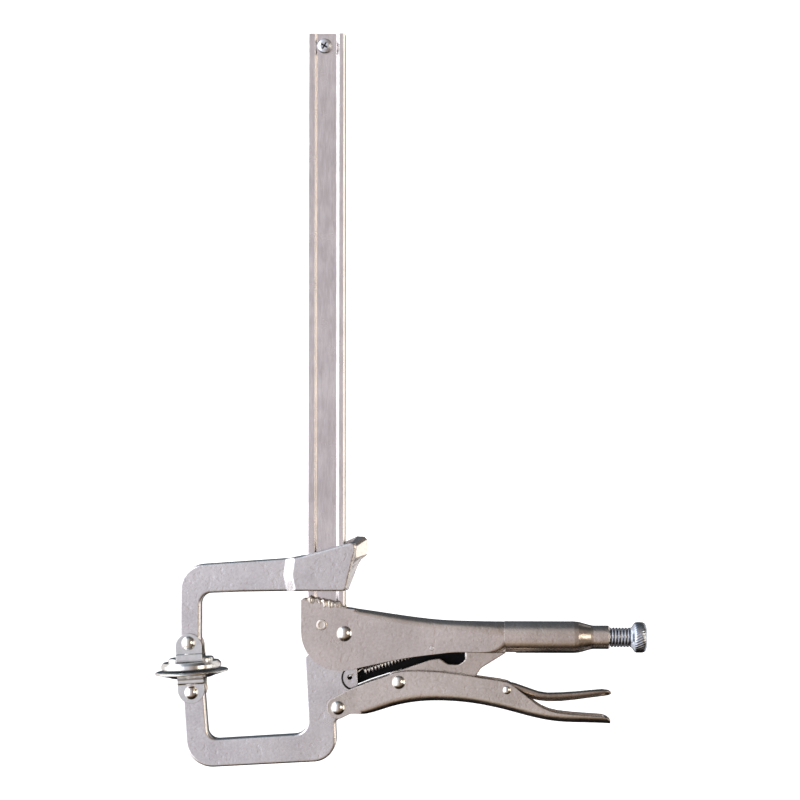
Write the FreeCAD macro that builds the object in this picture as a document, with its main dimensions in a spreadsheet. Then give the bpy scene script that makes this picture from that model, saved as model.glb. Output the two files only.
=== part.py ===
import FreeCAD, Part
import math
import os
import Sketcher
from FreeCAD import Placement, Rotation, Vector

# Locking C clamp with a long rail: the upper jaw arm slides on a grooved bar that is
# welded into the nose of the fixed handle, the lower jaw is closed by a toggle.
# Frame: +Z up along the bar, +X from the pads towards the handles, +Y away from the
# viewer.  The origin is the point where the two swivel pads meet.

doc = FreeCAD.newDocument("c_clamp")
dims = doc.addObject("Spreadsheet::Sheet", "dims")
cells = {}


def cell(alias, value):
    """Write one size in the sheet and return the expression that reads it."""
    if alias not in cells:
        row = len(cells) + 1
        dims.set(f"A{row}", alias)
        dims.set(f"B{row}", str(value))
        dims.setAlias(f"B{row}", alias)
        dims.recompute()
        cells[alias] = value
    return f"<<dims>>.{alias}"


# ---- driving sizes -------------------------------------------------------------------

sizes = {
    # forged jaws
    "jaw_thick": 9.5,
    "arm_rim": 1.7,
    "jaw_rim": 1.5,
    "hub_radius": 9.2,
    "lug_web": 4.0,
    "lug_notch_radius": 7.2,
    "lug_hole_radius": 1.5,
    # rail
    "bar_left": 70.0,
    "bar_right": 94.0,
    "bar_half_thick": 5.0,
    "bar_foot": 22.0,
    "bar_top": 389.0,
    "groove_left": 75.7,
    "groove_floor_left": 76.6,
    "groove_floor_right": 88.8,
    "groove_right": 90.3,
    "groove_floor_y": 3.8,
    "bevel_left": 1.8,
    "bevel_right": 0.9,
    "bevel_deep": 1.0,
    # sleeve of the sliding arm
    "sleeve_thick": 21.0,
    "sleeve_ramp": 5.4,
    "sleeve_rim": 1.5,
    "bridge_thick": 13.0,
    "bridge_rim": 0.8,
    "slide_gap": 0.05,
    # handles
    "cheek_gap": 10.0,
    "nose_thick": 15.6,
    "tube_axis": 20.3,
    # rivets
    "pin_gap": 0.05,
    "main_x": 93.94,
    "main_z": 22.57,
    "main_shank": 3.25,
    "main_head": 4.75,
    "jaw_pin_x": 89.98,
    "jaw_pin_z": -22.27,
    "jaw_pin_shank": 3.0,
    "jaw_pin_head": 4.3,
    "link_pin_x": 126.88,
    "link_pin_z": -6.71,
    "link_pin_shank": 2.75,
    "link_pin_head": 4.1,
    "lever_pin_x": 192.2,
    "lever_pin_z": -11.0,
    "lever_pin_shank": 1.5,
    "lever_pin_head": 2.5,
    "pad_pin_shank": 2.75,
    "pad_pin_head": 4.25,
    "upper_pin_z": 16.5,
    "lower_pin_z": -13.4,
    # swivel pads, measured in their own tilted frame
    "pad_tilt": 3.6,
    "pad_gap": 0.9,
    "ear_inner": 5.1,
    "ear_outer": 7.4,
    "ear_half_width": 8.0,
    # adjusting screw
    "screw_radius": 5.95,
    "thread_depth": 0.9,
    "thread_pitch": 1.9,
    "thread_turns": 15,
    "screw_tip": 191.8,
    "screw_shoulder": 266.8,
    # closing parts
    "jaw_tilt": 3.5,
    "link_thick": 5.0,
    "lever_thick": 11.0,
    "lever_wall": 1.7,
    "spring_radius": 1.85,
    "spring_wire": 0.45,
    "spring_pitch": 1.8,
    "spring_length": 34.2,
    "spring_pin_x": 147.0,
    "spring_pin_z": 14.0,
    "spring_pin_radius": 1.5,
}
for alias, value in sizes.items():
    cell(alias, value)


def ref(alias):
    return f"<<dims>>.{alias}"


# ---- helpers -------------------------------------------------------------------------


def new_body(name):
    body = doc.addObject("PartDesign::Body", name)
    body.Label = name
    return body


def place(body, x="0", y="0", z="0", turn=None):
    """Set a body's Placement; turn is degrees about +Y, clockwise in the front view."""
    body.Placement = Placement(Vector(0, 0, 0), Rotation(Vector(0, 1, 0), 0.0))
    body.setExpression("Placement.Base.x", x)
    body.setExpression("Placement.Base.y", y)
    body.setExpression("Placement.Base.z", z)
    if turn:
        body.Placement = Placement(Vector(0, 0, 0), Rotation(Vector(0, 1, 0), 1.0))
        body.setExpression("Placement.Rotation.Angle", turn)


def new_sketch(body, role, away=None, lift=None):
    """An empty sketch on an origin plane, moved along its normal or its own y."""
    sketch = body.newObject("Sketcher::SketchObject", body.Name + "_sketch")
    plane = next(f for f in body.Origin.OriginFeatures if f.Role == role)
    sketch.AttachmentSupport = (plane, [""])
    sketch.MapMode = "FlatFace"
    if away:
        sketch.setExpression("AttachmentOffset.Base.z", away)
    if lift:
        sketch.setExpression("AttachmentOffset.Base.y", lift)
    return sketch


def pin_points(sketch, pins):
    """Hold sketch points at expressions: pins is a list of (geometry, end, x, y)."""
    rules = []
    for geo, end, x, y in pins:
        rules.append(Sketcher.Constraint("DistanceX", -1, 1, geo, end, number(x)))
        rules.append(Sketcher.Constraint("DistanceY", -1, 1, geo, end, number(y)))
    first = sketch.ConstraintCount
    sketch.addConstraint(rules)
    for i, (_, _, x, y) in enumerate(pins):
        sketch.setExpression(f"Constraints[{first + 2 * i}]", x)
        sketch.setExpression(f"Constraints[{first + 2 * i + 1}]", y)


def polygon(sketch, points, tag=None):
    """A closed outline; numbers get cells named by tag, strings are expressions."""
    exprs = []
    plain = []
    for i, (u, v) in enumerate(points):
        exprs.append([
            value if isinstance(value, str) else cell(f"{tag}_{axis}{i}", value)
            for axis, value in (("u", u), ("v", v))])
        plain.append(Vector(number(u), number(v), 0))
    count = len(points)
    sides = [Part.LineSegment(plain[i], plain[(i + 1) % count]) for i in range(count)]
    sketch.addGeometry(sides, False)
    sketch.addConstraint(
        [Sketcher.Constraint("Coincident", i, 2, (i + 1) % count, 1) for i in range(count)])
    pin_points(sketch, [(i, 1, *exprs[i]) for i in range(count)])
    return sketch


def number(value):
    """The present value of a number or of an expression over the sheet."""
    return float(dims.evalExpression(value)) if isinstance(value, str) else float(value)


def build(*objects):
    """Work out a few objects in order, leaving the rest of the document alone."""
    for item in objects:
        item.recompute()
        if not item.isValid():
            raise ValueError(f"{item.Label}: {item.getStatusString()}")


def pad(body, sketch, length):
    feature = body.newObject("PartDesign::Pad", body.Name + "_pad")
    feature.Profile = sketch
    feature.SideType = "Symmetric"
    feature.setExpression("Length", length)
    build(sketch, feature)
    return feature


def pad_up(body, sketch, length):
    feature = body.newObject("PartDesign::Pad", body.Name + "_pad")
    feature.Profile = sketch
    feature.setExpression("Length", length)
    build(sketch, feature)
    return feature


def cut_through(body, sketch):
    feature = body.newObject("PartDesign::Pocket", body.Name + "_cut")
    feature.Profile = sketch
    feature.SideType = "Symmetric"
    feature.Type = "ThroughAll"
    build(sketch, feature)
    return feature


def cut_wide(body, sketch, length):
    """Remove a band of the given width, centred on the sketch plane."""
    feature = body.newObject("PartDesign::Pocket", body.Name + "_cut")
    feature.Profile = sketch
    feature.SideType = "Symmetric"
    feature.setExpression("Length", length)
    build(sketch, feature)
    return feature


def spin(body, sketch, axis, kind="Revolution"):
    feature = body.newObject("PartDesign::" + kind, body.Name + "_turned")
    feature.Profile = sketch
    feature.ReferenceAxis = (sketch, [axis])
    feature.Angle = 360.0
    build(sketch, feature)
    return feature


def edges_where(body, test):
    shape = body.Tip.Shape
    return [f"Edge{i}" for i, edge in enumerate(shape.Edges, 1) if test(edge)]


def dress(body, kind, edges, size):
    """Fillet or chamfer the named edges of the body's newest feature."""
    base = body.Tip
    feature = body.newObject("PartDesign::" + kind, body.Name + "_" + kind.lower())
    feature.Base = (base, edges)
    feature.setExpression("Radius" if kind == "Fillet" else "Size", size)
    build(feature)
    return feature


def along_y(edge, x, z, near=0.02):
    box = edge.BoundBox
    return (box.XLength < near and box.ZLength < near
            and abs(box.Center.x - x) < near and abs(box.Center.z - z) < near)


def round_corners(body, corners, tag):
    """Round the upright corners of a plate: corners is a list of (x, z, radius)."""
    for radius in sorted({r for _, _, r in corners if r}, reverse=True):
        spots = [(x, z) for x, z, r in corners if r == radius]
        edges = edges_where(body, lambda e: any(along_y(e, x, z) for x, z in spots))
        size = cell(f"{tag}_corner_{str(radius).replace('.', '_')}", radius)
        dress(body, "Fillet", edges, size)


def plate(name, corners, thick):
    """A flat piece in the X-Z plane, centred on Y = 0, with rounded corners."""
    body = new_body(name)
    sketch = new_sketch(body, "XZ_Plane")
    polygon(sketch, [(x, z) for x, z, _ in corners], name)
    pad(body, sketch, thick)
    round_corners(body, corners, name)
    return body


def add_plate(body, corners, thick, tag):
    sketch = new_sketch(body, "XZ_Plane")
    polygon(sketch, [(x, z) for x, z, _ in corners], tag)
    pad(body, sketch, thick)
    round_corners(body, corners, tag)


def on_side_faces(edge, half, near=0.01):
    """True for an edge that lies wholly in the front or the back face."""
    box = edge.BoundBox
    return box.YLength < near and abs(abs(box.Center.y) - half) < near


def circle(sketch, x, z, radius):
    geo = sketch.addGeometry(
        Part.Circle(Vector(number(x), number(z), 0), Vector(0, 0, 1), number(radius)), False)
    size = sketch.addConstraint(Sketcher.Constraint("Radius", geo, number(radius)))
    sketch.setExpression(f"Constraints[{size}]", radius)
    pin_points(sketch, [(geo, 3, x, z)])


def hole(body, x, z, radius):
    """A hole along Y right through the piece."""
    sketch = new_sketch(body, "XZ_Plane")
    circle(sketch, x, z, radius)
    cut_through(body, sketch)


def section(body, tag, x, half, top, bottom, top_radius, bottom_radius):
    """A rounded rectangle across X, for lofts: eight edges, every size in the sheet."""
    names = {"x": x, "h": half, "t": top, "b": bottom, "p": top_radius, "q": bottom_radius}
    for key, value in names.items():
        cell(f"{tag}_{key}", value)
    h, t, b, p, q = (ref(f"{tag}_{key}") for key in "htbpq")
    sketch = new_sketch(body, "YZ_Plane", ref(f"{tag}_x"))
    corners = [
        (f"-{h}", f"{t} - {p}"), (f"-{h} + {p}", t), (f"{h} - {p}", t), (h, f"{t} - {p}"),
        (h, f"{b} + {q}"), (f"{h} - {q}", b), (f"-{h} + {q}", b), (f"-{h}", f"{b} + {q}"),
    ]
    spots = [Vector(number(u), number(v), 0) for u, v in corners]
    centres = [(-half + top_radius, top - top_radius, top_radius, 90, 180),
               (half - top_radius, top - top_radius, top_radius, 0, 90),
               (half - bottom_radius, bottom + bottom_radius, bottom_radius, 270, 360),
               (-half + bottom_radius, bottom + bottom_radius, bottom_radius, 180, 270)]
    for i, (u, v, radius, start, end) in enumerate(centres):
        ring = Part.Circle(Vector(u, v, 0), Vector(0, 0, 1), radius)
        sketch.addGeometry(
            Part.ArcOfCircle(ring, math.radians(start), math.radians(end)), False)
        sketch.addGeometry(
            Part.LineSegment(spots[2 * i + 1], spots[(2 * i + 2) % 8]), False)
    joins = []
    for i in range(4):
        arc, line, following = 2 * i, 2 * i + 1, (2 * i + 2) % 8
        joins.append(Sketcher.Constraint("Tangent", arc, 1, line, 1))
        joins.append(Sketcher.Constraint("Coincident", line, 2, following, 2))
    sketch.addConstraint(joins)
    pins = []
    for i in range(4):
        pins.append((2 * i + 1, 1, *corners[2 * i + 1]))
        pins.append((2 * i + 1, 2, *corners[(2 * i + 2) % 8]))
    pin_points(sketch, pins)
    return sketch


def rectangle_across(body, tag, x, half, top, bottom):
    """A plain rectangle across X, for straight-sided channel cuts."""
    for key, value in {"x": x, "h": half, "t": top, "b": bottom}.items():
        cell(f"{tag}_{key}", value)
    h, t, b = (ref(f"{tag}_{key}") for key in "htb")
    sketch = new_sketch(body, "YZ_Plane", ref(f"{tag}_x"))
    return polygon(sketch, [(f"-{h}", b), (h, b), (h, t), (f"-{h}", t)])


def loft(body, kind, sketches, ruled):
    feature = body.newObject("PartDesign::" + kind, body.Name + "_loft")
    feature.Profile = sketches[0]
    feature.Sections = sketches[1:]
    feature.Ruled = ruled
    build(*sketches, feature)
    return feature


def rivet(name, x, z, grip, shank, head, rise):
    """A rivet along Y: plain shank and a domed head on each side of the grip."""
    body = new_body(name)
    g = cell(f"{name}_grip", grip)
    k = cell(f"{name}_rise", rise)
    head_r = number(head)
    dome = (head_r ** 2 + rise ** 2) / (2 * rise)
    lean = math.asin(head_r / dome)
    sketch = new_sketch(body, "XY_Plane")
    quarter = math.pi / 2
    low = Part.Circle(Vector(0, -grip - rise + dome, 0), Vector(0, 0, 1), dome)
    high = Part.Circle(Vector(0, grip + rise - dome, 0), Vector(0, 0, 1), dome)
    sketch.addGeometry(Part.ArcOfCircle(low, -quarter, -quarter + lean), False)
    sketch.addGeometry(Part.ArcOfCircle(high, quarter - lean, quarter), False)
    spots = [Vector(head_r, -grip, 0), Vector(number(shank), -grip, 0),
             Vector(number(shank), grip, 0), Vector(head_r, grip, 0)]
    for start, end in zip(spots, spots[1:]):
        sketch.addGeometry(Part.LineSegment(start, end), False)
    axis = Part.LineSegment(Vector(0, grip + rise, 0), Vector(0, -grip - rise, 0))
    sketch.addGeometry(axis, False)
    joins = [(0, 2, 2, 1), (2, 2, 3, 1), (3, 2, 4, 1), (4, 2, 1, 1), (1, 2, 5, 1), (5, 2, 0, 1)]
    sketch.addConstraint([Sketcher.Constraint("Coincident", *join) for join in joins])
    sketch.addConstraint([Sketcher.Constraint("PointOnObject", arc, 3, -2) for arc in (0, 1)])
    pin_points(sketch, [
        (5, 1, "0", f"{g} + {k}"), (5, 2, "0", f"-{g} - {k}"),
        (2, 1, head, f"-{g}"), (2, 2, shank, f"-{g}"), (4, 1, shank, g), (4, 2, head, g)])
    spin(body, sketch, "V_Axis")
    place(body, x, "0", z)
    return body


# ---- rail, its stop screw and its welds ----------------------------------------------

bar = new_body("rail_bar")
profile = new_sketch(bar, "XY_Plane", ref("bar_foot"))
half = ref("bar_half_thick")
floor = ref("groove_floor_y")
side = f"{half} - {ref('bevel_deep')}"
front = [
    (ref("bar_left"), side), (f"{ref('bar_left')} + {ref('bevel_left')}", half),
    (ref("groove_left"), half), (ref("groove_floor_left"), floor),
    (ref("groove_floor_right"), floor), (ref("groove_right"), half),
    (f"{ref('bar_right')} - {ref('bevel_right')}", half), (ref("bar_right"), side),
]
polygon(profile, [(u, f"-({v})") for u, v in front] + list(reversed(front)))
pad_up(bar, profile, f"{ref('bar_top')} - {ref('bar_foot')}")
tail = new_sketch(bar, "XZ_Plane")
polygon(tail, [(78.0, 21.0), (95.0, 21.0), (95.0, 36.9)], "bar_tail")
cut_through(bar, tail)
cell("stop_x", 81.4)
cell("stop_z", 381.2)
cell("stop_shank", 2.5)
cell("stop_head", 4.6)
cell("stop_head_y", -6.5)
cell("stop_recess_y", -5.2)
hole(bar, ref("stop_x"), ref("stop_z"), ref("stop_shank"))

stop = new_body("stop_screw")
outline = new_sketch(stop, "XY_Plane")
polygon(outline, [
    ("0", ref("stop_head_y")), (2.6, ref("stop_head_y")), (4.0, -6.1),
    (ref("stop_head"), -5.2), (ref("stop_head"), "-" + floor), (ref("stop_shank"), "-" + floor),
    (ref("stop_shank"), floor), ("0", floor)], "stop_profile")
spin(stop, outline, "V_Axis")
recess = new_sketch(stop, "XZ_Plane", f"-{ref('stop_head_y')} + 0.1")
cross = []
for turn in range(4):
    for u, v in ((0.45, 2.3), (-0.45, 2.3), (-0.45, 0.45)):
        for _ in range(turn):
            u, v = -v, u
        cross.append((u, v))
polygon(recess, cross, "stop_cross")
slot = stop.newObject("PartDesign::Pocket", "stop_screw_cross")
slot.Profile = recess
slot.setExpression("Length", f"{ref('stop_recess_y')} - {ref('stop_head_y')} + 0.1")
build(recess, slot)
place(stop, ref("stop_x"), "0", ref("stop_z"), cell("stop_turn", 31.0))

for sign, name in (("", "bar_weld_front"), ("-", "bar_weld_back")):
    bead = new_body(name)
    strip = new_sketch(bead, "XZ_Plane", f"{sign}{cell('weld_y', 6.2)}")
    polygon(strip, [(69.4, 41.2), (95.0, 35.9), (95.0, 40.2), (69.4, 45.2)], "weld")
    pad(bead, strip, cell("weld_thick", 3.9))
    dress(bead, "Fillet", edges_where(bead, lambda e: e.BoundBox.XLength > 20),
          cell("weld_round", 1.2))

# ---- upper handle: open cheeks at the nose, channel, tube and neck ---------------------

handle = new_body("upper_handle")
nose = [
    (67.6, 43.4, 0.8), (67.6, 0.2, 23.5), (94.0, 0.2, 0), (100.0, 1.1, 0),
    (100.0, 37.2, 0), (92.7, 38.1, 0),
]
sketch = new_sketch(handle, "XZ_Plane")
polygon(sketch, [(x, z) for x, z, _ in nose], "nose")
pad(handle, sketch, ref("nose_thick"))
round_corners(handle, nose, "nose")
stations = [
    # x, half width, top, bottom, top radius, bottom radius
    (98.0, 7.8, 37.45, 0.8, 2.4, 0.4),
    (115.0, 8.0, 35.1, 4.5, 3.6, 0.4),
    (132.0, 8.3, 32.7, 7.9, 4.6, 0.4),
    (152.0, 8.7, 30.5, 10.6, 5.2, 0.4),
    (170.0, 9.1, 29.8, 11.5, 6.0, 0.6),
    (182.0, 9.35, 29.7, 11.1, 7.6, 1.6),
    (191.6, 9.4, 29.7, 10.9, 9.2, 9.2),
]
shells = [section(handle, f"shell{i}", *values) for i, values in enumerate(stations)]
loft(handle, "AdditiveLoft", shells, False)
tube = new_sketch(handle, "XZ_Plane", None, ref("tube_axis"))
polygon(tube, [
    (191.0, "0"), (191.0, 9.6), (233.0, 9.6), (235.6, 9.35), (238.2, 8.7), (243.0, 7.35),
    (244.6, 7.1), (253.7, 7.1), (254.5, 6.4), (254.5, "0")], "tube")
spin(handle, tube, "H_Axis")
cavity = [
    # x, half width, top, bottom
    (92.0, 5.0, 35.6, -6.0), (132.0, 5.5, 29.9, -6.0), (172.0, 6.3, 26.95, -6.0),
    (184.0, 3.7, 26.9, -6.0), (198.0, 3.5, 26.9, -6.0),
]
cuts = [rectangle_across(handle, f"cavity{i}", *values) for i, values in enumerate(cavity)]
loft(handle, "SubtractiveLoft", cuts, True)
gap = new_sketch(handle, "XY_Plane")
polygon(gap, [
    (60.0, f"-{ref('cheek_gap')} / 2"), (94.05, f"-{ref('cheek_gap')} / 2"),
    (94.05, f"{ref('cheek_gap')} / 2"), (60.0, f"{ref('cheek_gap')} / 2")], "nose_gap")
cut_through(handle, gap)
bore = new_sketch(handle, "XZ_Plane", None, ref("tube_axis"))
polygon(bore, [
    (190.2, "0"), (190.2, 6.7), (240.0, 6.7), (243.0, f"{ref('screw_radius')} + {ref('pin_gap')}"),
    (256.0, f"{ref('screw_radius')} + {ref('pin_gap')}"), (256.0, "0")], "bore")
spin(handle, bore, "H_Axis", "Groove")
hole(handle, ref("main_x"), ref("main_z"), ref("main_shank"))
hole(handle, ref("spring_pin_x"), ref("spring_pin_z"), ref("spring_pin_radius"))

rivet("main_rivet", ref("main_x"), ref("main_z"), 7.8, ref("main_shank"), ref("main_head"), 2.5)

anchor = new_body("spring_pin")
sketch = new_sketch(anchor, "XZ_Plane")
circle(sketch, "0", "0", ref("spring_pin_radius"))
pad(anchor, sketch, cell("spring_pin_length", 17.3))
dress(anchor, "Chamfer", edges_where(anchor, lambda e: e.BoundBox.YLength < 0.01),
      cell("spring_pin_chamfer", 0.3))
place(anchor, ref("spring_pin_x"), "0", ref("spring_pin_z"))

plug = new_body("plug_weld")
outline = new_sketch(plug, "XY_Plane")
polygon(outline, [
    ("0", -8.0), (1.4, -8.05), (2.2, -8.2), (2.9, -8.05), (3.3, -7.8), (2.6, -7.0),
    (2.6, -5.6), ("0", -5.6)], "plug")
spin(plug, outline, "V_Axis")
place(plug, cell("plug_x", 80.2), "0", cell("plug_z", 27.9))
seat = new_sketch(handle, "XZ_Plane")
circle(seat, ref("plug_x"), ref("plug_z"), cell("plug_hole", 2.6))
socket = handle.newObject("PartDesign::Pocket", "upper_handle_plug_hole")
socket.Profile = seat
socket.Type = "ThroughAll"
socket.Reversed = False
build(seat, socket)

# ---- adjusting screw and knob ----------------------------------------------------------

screw = new_body("adjusting_screw")
radius = ref("screw_radius")
tip = ref("screw_tip")
rod = new_sketch(screw, "XZ_Plane")
shoulder = ref("screw_shoulder")
start = f"{shoulder} - {cell('thread_length', 28.0)}"
polygon(rod, [
    (tip, "0"), (tip, 3.6), (f"{tip} + 1.6", 4.7), (f"{start} - 1.5", 4.7),
    (f"{start} - 0.25", radius), (shoulder, radius), (shoulder, "0")], "rod")
spin(screw, rod, "H_Axis")
thread = new_sketch(screw, "XZ_Plane")
root = f"{radius} - {ref('thread_depth')}"
polygon(thread, [
    (start, f"{radius} + 0.2"), (f"{start} + 0.7", root), (f"{start} + 0.95", root),
    (f"{start} + 1.65", f"{radius} + 0.2")])
ridge = spin(screw, thread, "H_Axis", "Groove")
turns = screw.newObject("PartDesign::LinearPattern", "adjusting_screw_thread")
turns.Originals = [ridge]
turns.Direction = (thread, ["H_Axis"])
screw.Tip = turns
turns.setExpression("Occurrences", ref("thread_turns"))
turns.setExpression("Length", f"{ref('thread_pitch')} * ({ref('thread_turns')} - 1)")
build(turns)
place(screw, "0", "0", ref("tube_axis"))

knob = new_body("adjusting_knob")
grip = new_sketch(knob, "XZ_Plane")
polygon(grip, [
    (ref("screw_shoulder"), "0"), (ref("screw_shoulder"), 5.9), (269.6, 9.3), (274.2, 9.3),
    (276.3, 8.2), (276.9, 6.6), (276.9, "0")], "knob")
spin(knob, grip, "H_Axis")
knurl = new_sketch(knob, "XY_Plane", cell("knurl_depth", 8.75))
polygon(knurl, [(269.0, -1.1), (270.1, -1.1), (275.4, 1.1), (274.3, 1.1)], "knurl")
notch = knob.newObject("PartDesign::Pocket", "adjusting_knob_knurl")
notch.Profile = knurl
notch.Reversed = True
notch.setExpression("Length", cell("knurl_reach", 2.0))
build(knurl, notch)
ring = knob.newObject("PartDesign::PolarPattern", "adjusting_knob_ring")
ring.Originals = [notch]
ring.Axis = (grip, ["H_Axis"])
knob.Tip = ring
ring.Angle = 360.0
ring.setExpression("Occurrences", cell("knurl_count", 26))
build(ring)
place(knob, "0", "0", ref("tube_axis"))

# ---- sliding arm -----------------------------------------------------------------------

arm = new_body("sliding_arm")
lip = {
    "middle": [(90.0, 48.6), (95.9, 48.6), (101.6, 63.0), (103.6, 66.8), (107.0, 69.6),
               (107.4, 70.6), (107.4, 79.4), (105.6, 81.1), (101.2, 81.3), (90.0, 76.2)],
    "face": [(90.0, 48.6), (92.6, 48.6), (96.4, 58.0), (98.4, 63.4), (100.6, 67.4),
             (101.0, 68.6), (101.0, 75.2), (99.8, 76.4), (97.4, 76.4), (90.0, 73.8)],
}
slices = []
for i, (outline, away) in enumerate((
        ("face", f"-{ref('bridge_thick')} / 2"), ("middle", f"-{ref('bridge_rim')}"),
        ("middle", ref("bridge_rim")), ("face", f"{ref('bridge_thick')} / 2"))):
    slices.append(new_sketch(arm, "XZ_Plane", away))
    polygon(slices[-1], lip[outline], f"lip{i}")
loft(arm, "AdditiveLoft", slices, True)
add_plate(arm, [
    (58.8, 48.3, 0), (95.0, 48.3, 2.6), (102.2, 77.9, 3.0), (97.8, 77.9, 3.0),
    (68.6, 69.7, 0), (58.2, 67.6, 0), (56.8, 58.0, 0)], ref("sleeve_thick"), "sleeve")
half_sleeve = sizes["sleeve_thick"] / 2
dress(arm, "Chamfer", edges_where(
    arm, lambda e: on_side_faces(e, half_sleeve) and e.BoundBox.XMax < 59.0),
    ref("sleeve_ramp"))
dress(arm, "Fillet", edges_where(
    arm, lambda e: on_side_faces(e, half_sleeve)), ref("sleeve_rim"))
add_plate(arm, [
    (-7.2, 9.8, 6.2), (6.1, 9.8, 6.2), (6.1, 46.5, 6.7), (30.0, 47.5, 0), (66.0, 48.1, 0),
    (66.0, 68.5, 0), (-7.2, 63.4, 15.5)], ref("jaw_thick"), "arm")
half_jaw = sizes["jaw_thick"] / 2
dress(arm, "Fillet", edges_where(
    arm, lambda e: on_side_faces(e, half_jaw) and e.BoundBox.XMin < 50.0), ref("arm_rim"))
slide = new_sketch(arm, "XY_Plane")
clear = ref("slide_gap")
polygon(slide, [
    (f"{ref('bar_left')} - {clear}", f"-{half} - {clear}"),
    (f"{ref('bar_right')} + {clear}", f"-{half} - {clear}"),
    (f"{ref('bar_right')} + {clear}", f"{half} + {clear}"),
    (f"{ref('bar_left')} - {clear}", f"{half} + {clear}")])
cut_through(arm, slide)
tilt_x = f"sin({ref('pad_tilt')} * 1 deg)"
tilt_z = f"cos({ref('pad_tilt')} * 1 deg)"
upper_x = f"-{ref('upper_pin_z')} * {tilt_x}"
upper_z = f"{ref('upper_pin_z')} * {tilt_z}"
hole(arm, upper_x, upper_z, ref("pad_pin_shank"))

# ---- swivel pads, drawn square in their own frame and then tilted -----------------------


def pad_bracket(name, side, base_near, base_far, floor_z, bend_z, ear_radius, pin_z):
    """A U bracket: two round ears on a base; side is +1 above the pads, -1 below."""
    body = new_body(name)
    w = ref("ear_half_width")
    base = new_sketch(body, "XZ_Plane")
    polygon(base, [(f"-{w}", base_near), (w, base_near), (w, base_far), (f"-{w}", base_far)],
            name + "_base")
    pad(body, base, cell("bracket_base_thick", 17.2))
    dress(body, "Fillet", edges_where(
        body, lambda e: abs(e.BoundBox.Center.y) > 8.0 and e.BoundBox.XLength > 10),
        cell("bracket_bend", 1.6))
    ears = new_sketch(body, "XZ_Plane")
    polygon(ears, [(f"-{w}", floor_z), (w, floor_z), (w, bend_z), (f"-{w}", bend_z)],
            name + "_ears")
    pad(body, ears, f"2 * {ref('ear_outer')}")
    tops = new_sketch(body, "XZ_Plane")
    circle(tops, "0", cell(name + "_bend", bend_z), cell(name + "_ear_radius", ear_radius))
    pad(body, tops, f"2 * {ref('ear_outer')}")
    inside = new_sketch(body, "XZ_Plane")
    polygon(inside, [(-12.0, floor_z), (12.0, floor_z), (12.0, side * 30.0),
                     (-12.0, side * 30.0)], name + "_gap")
    cut_wide(body, inside, f"2 * {ref('ear_inner')}")
    beyond = new_sketch(body, "XZ_Plane")
    polygon(beyond, [(-12.0, base_near), (12.0, base_near), (12.0, base_near - side * 4.0),
                     (-12.0, base_near - side * 4.0)], name + "_beyond")
    cut_through(body, beyond)
    hole(body, "0", pin_z, f"{ref('pad_pin_shank')} + {ref('pin_gap')}")
    place(body, turn=f"-{ref('pad_tilt')}")
    return body


disc = new_body("upper_pad_disc")
sketch = new_sketch(disc, "XZ_Plane")
polygon(sketch, [
    ("0", f"{ref('pad_gap')} / 2"), (17.3, f"{ref('pad_gap')} / 2"), (18.3, 1.3), (18.3, 3.3),
    (17.0, 4.9), ("0", 4.9)], "upper_disc")
spin(disc, sketch, "V_Axis")
lugs = new_sketch(disc, "XZ_Plane")
polygon(lugs, [(-13.7, 4.5), (13.7, 4.5), (13.7, 7.4), (-13.7, 7.4)], "upper_lugs")
pad(disc, lugs, cell("upper_lug_thick", 15.0))
dress(disc, "Fillet", edges_where(
    disc, lambda e: abs(abs(e.BoundBox.Center.x) - 13.7) < 0.01 and e.BoundBox.ZLength > 1
    and e.BoundBox.YLength < 0.01), cell("lug_corner", 5.5))
dress(disc, "Fillet", edges_where(
    disc, lambda e: abs(e.BoundBox.Center.z - 7.4) < 0.01), cell("lug_rim", 1.2))
keyway = new_sketch(disc, "XZ_Plane")
w = ref("ear_half_width")
polygon(keyway, [(f"-{w}", 4.9), (w, 4.9), (w, 9.0), (f"-{w}", 9.0)], "upper_keyway")
cut_through(disc, keyway)
place(disc, turn=f"-{ref('pad_tilt')}")
pad_bracket("upper_pad_bracket", 1, 4.9, 10.2, 8.9, 14.3, 8.0, ref("upper_pin_z"))
rivet("upper_pad_rivet", upper_x, upper_z, 7.4, ref("pad_pin_shank"), ref("pad_pin_head"), 2.3)

disc = new_body("lower_pad_disc")
sketch = new_sketch(disc, "XZ_Plane")
polygon(sketch, [
    ("0", f"-{ref('pad_gap')} / 2"), (21.4, f"-{ref('pad_gap')} / 2"), (22.3, -1.1),
    (22.0, -2.0), (18.6, -2.9), (14.4, -3.9), (12.4, -4.7), ("0", -4.7)], "lower_disc")
spin(disc, sketch, "V_Axis")
place(disc, turn=f"-{ref('pad_tilt')}")
pad_bracket("lower_pad_bracket", -1, -4.7, -8.6, -6.3, -11.8, 8.2, ref("lower_pin_z"))
lower_x = f"{tilt_x} * (0 - {ref('lower_pin_z')})"
lower_z = f"{ref('lower_pin_z')} * {tilt_z}"
rivet("lower_pad_rivet", lower_x, lower_z, 7.4, ref("pad_pin_shank"), ref("pad_pin_head"), 2.3)

# ---- lower jaw, drawn upright about the main pivot and then tilted ------------------------

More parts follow.
